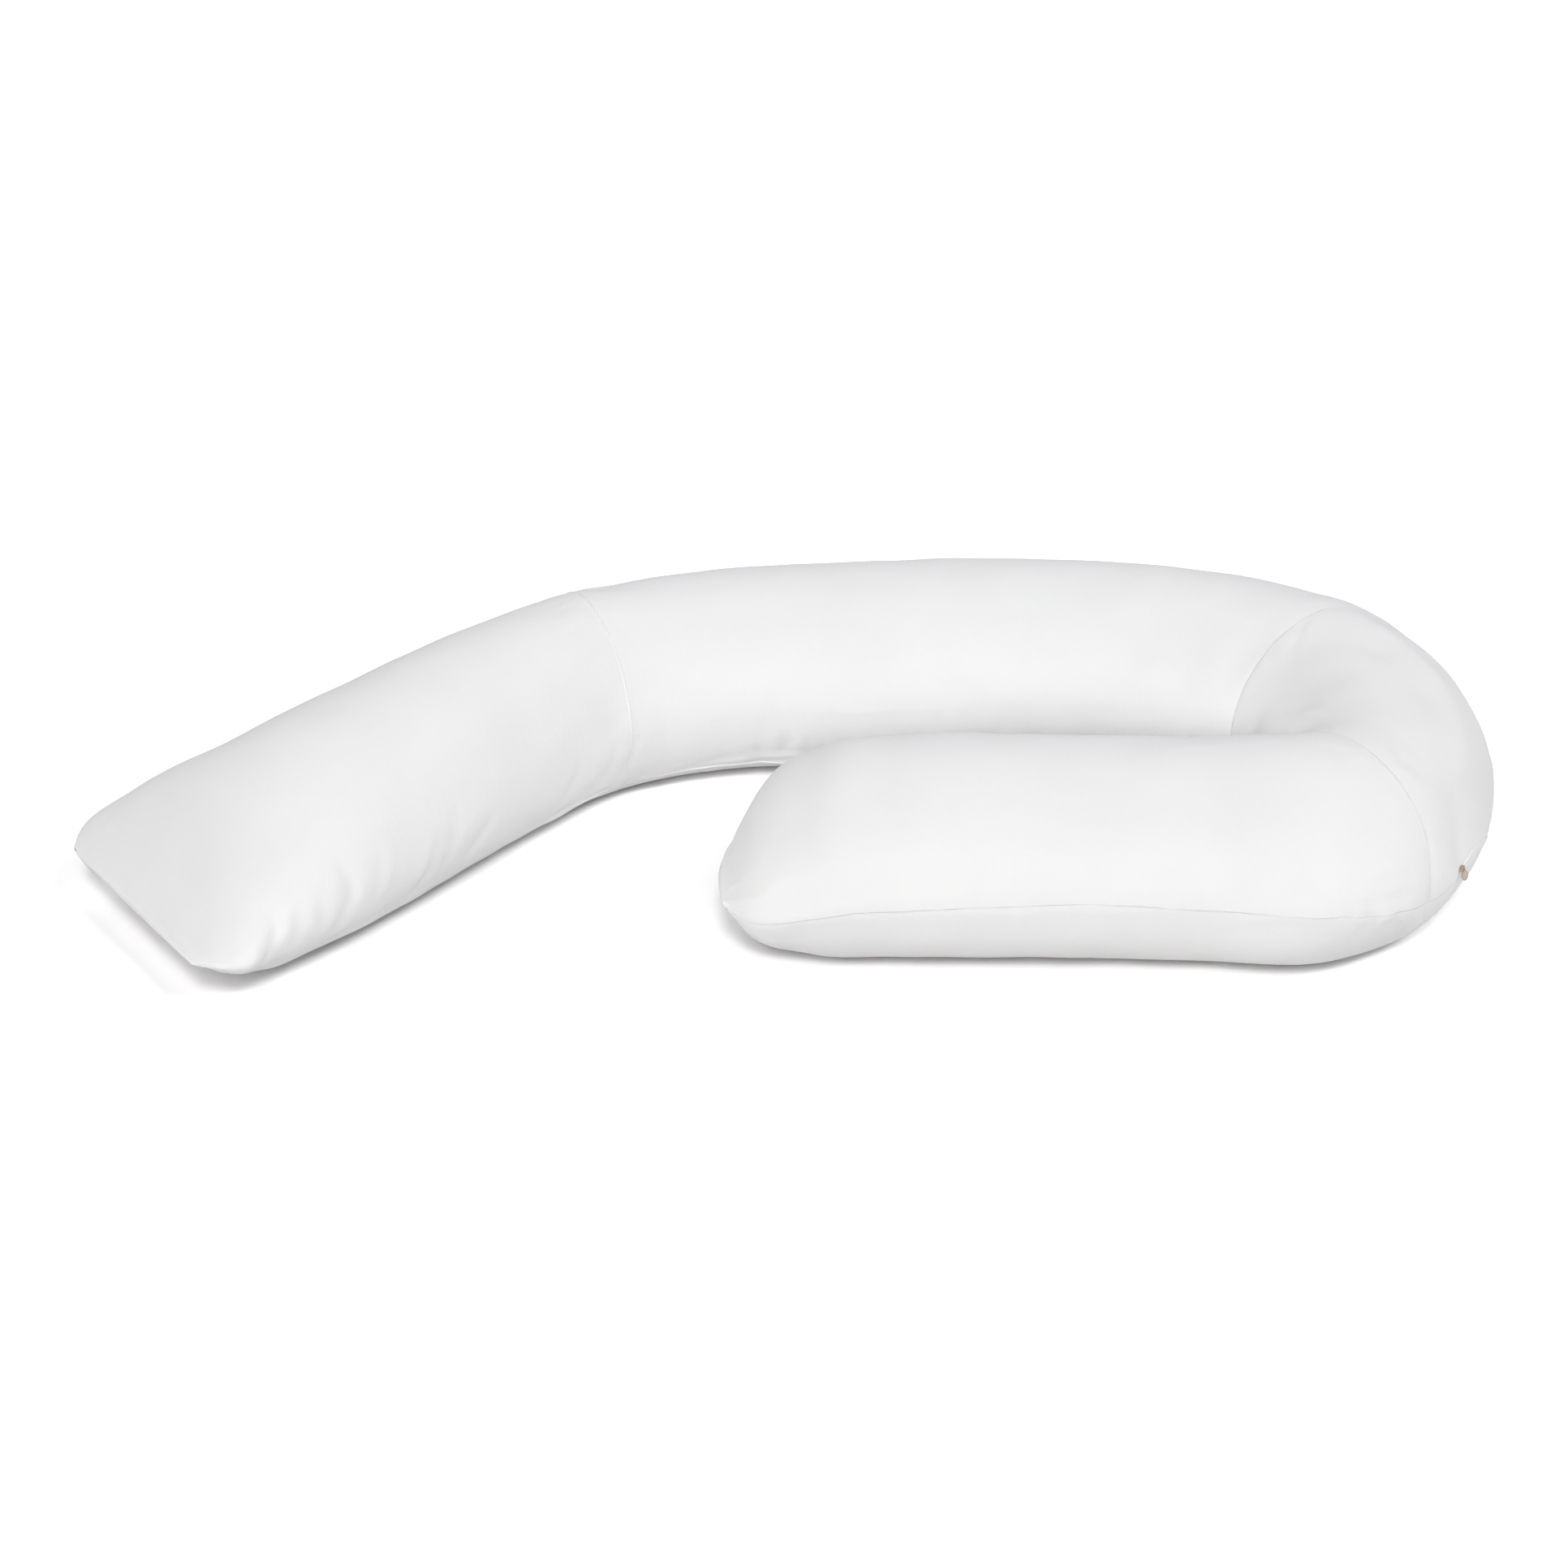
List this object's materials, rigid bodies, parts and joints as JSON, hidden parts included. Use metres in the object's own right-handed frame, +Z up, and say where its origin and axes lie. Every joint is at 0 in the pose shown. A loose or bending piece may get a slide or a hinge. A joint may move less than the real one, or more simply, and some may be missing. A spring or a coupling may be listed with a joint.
{
  "type": "body pillow",
  "caption": "Full-length side-sleeper body pillow lying in a J: one round filled bag in sewn sections, with a flat-sewn leg end, a short front arm and the end of a concealed zip.",
  "frame": {"origin": "on the surface it rests on, under the middle of the pillow's bounding box", "axes": "+X along the long back towards the bend, +Y from the front arm towards the back, +Z up from the surface it lies on"},
  "size_m": [1.4071, 0.668, 0.2042],
  "materials": {
    "cotton": "white cotton percale, matt, fine plain weave",
    "zip_slider": "satin brown-grey lacquered metal",
    "zip_tab": "satin beige lacquered metal"
  },
  "bodies": {
    "root": {"pillow": "cotton", "zip_fly": "cotton", "zip_slider": "zip_slider", "zip_tab": "zip_tab"}
  },
  "joints": []
}
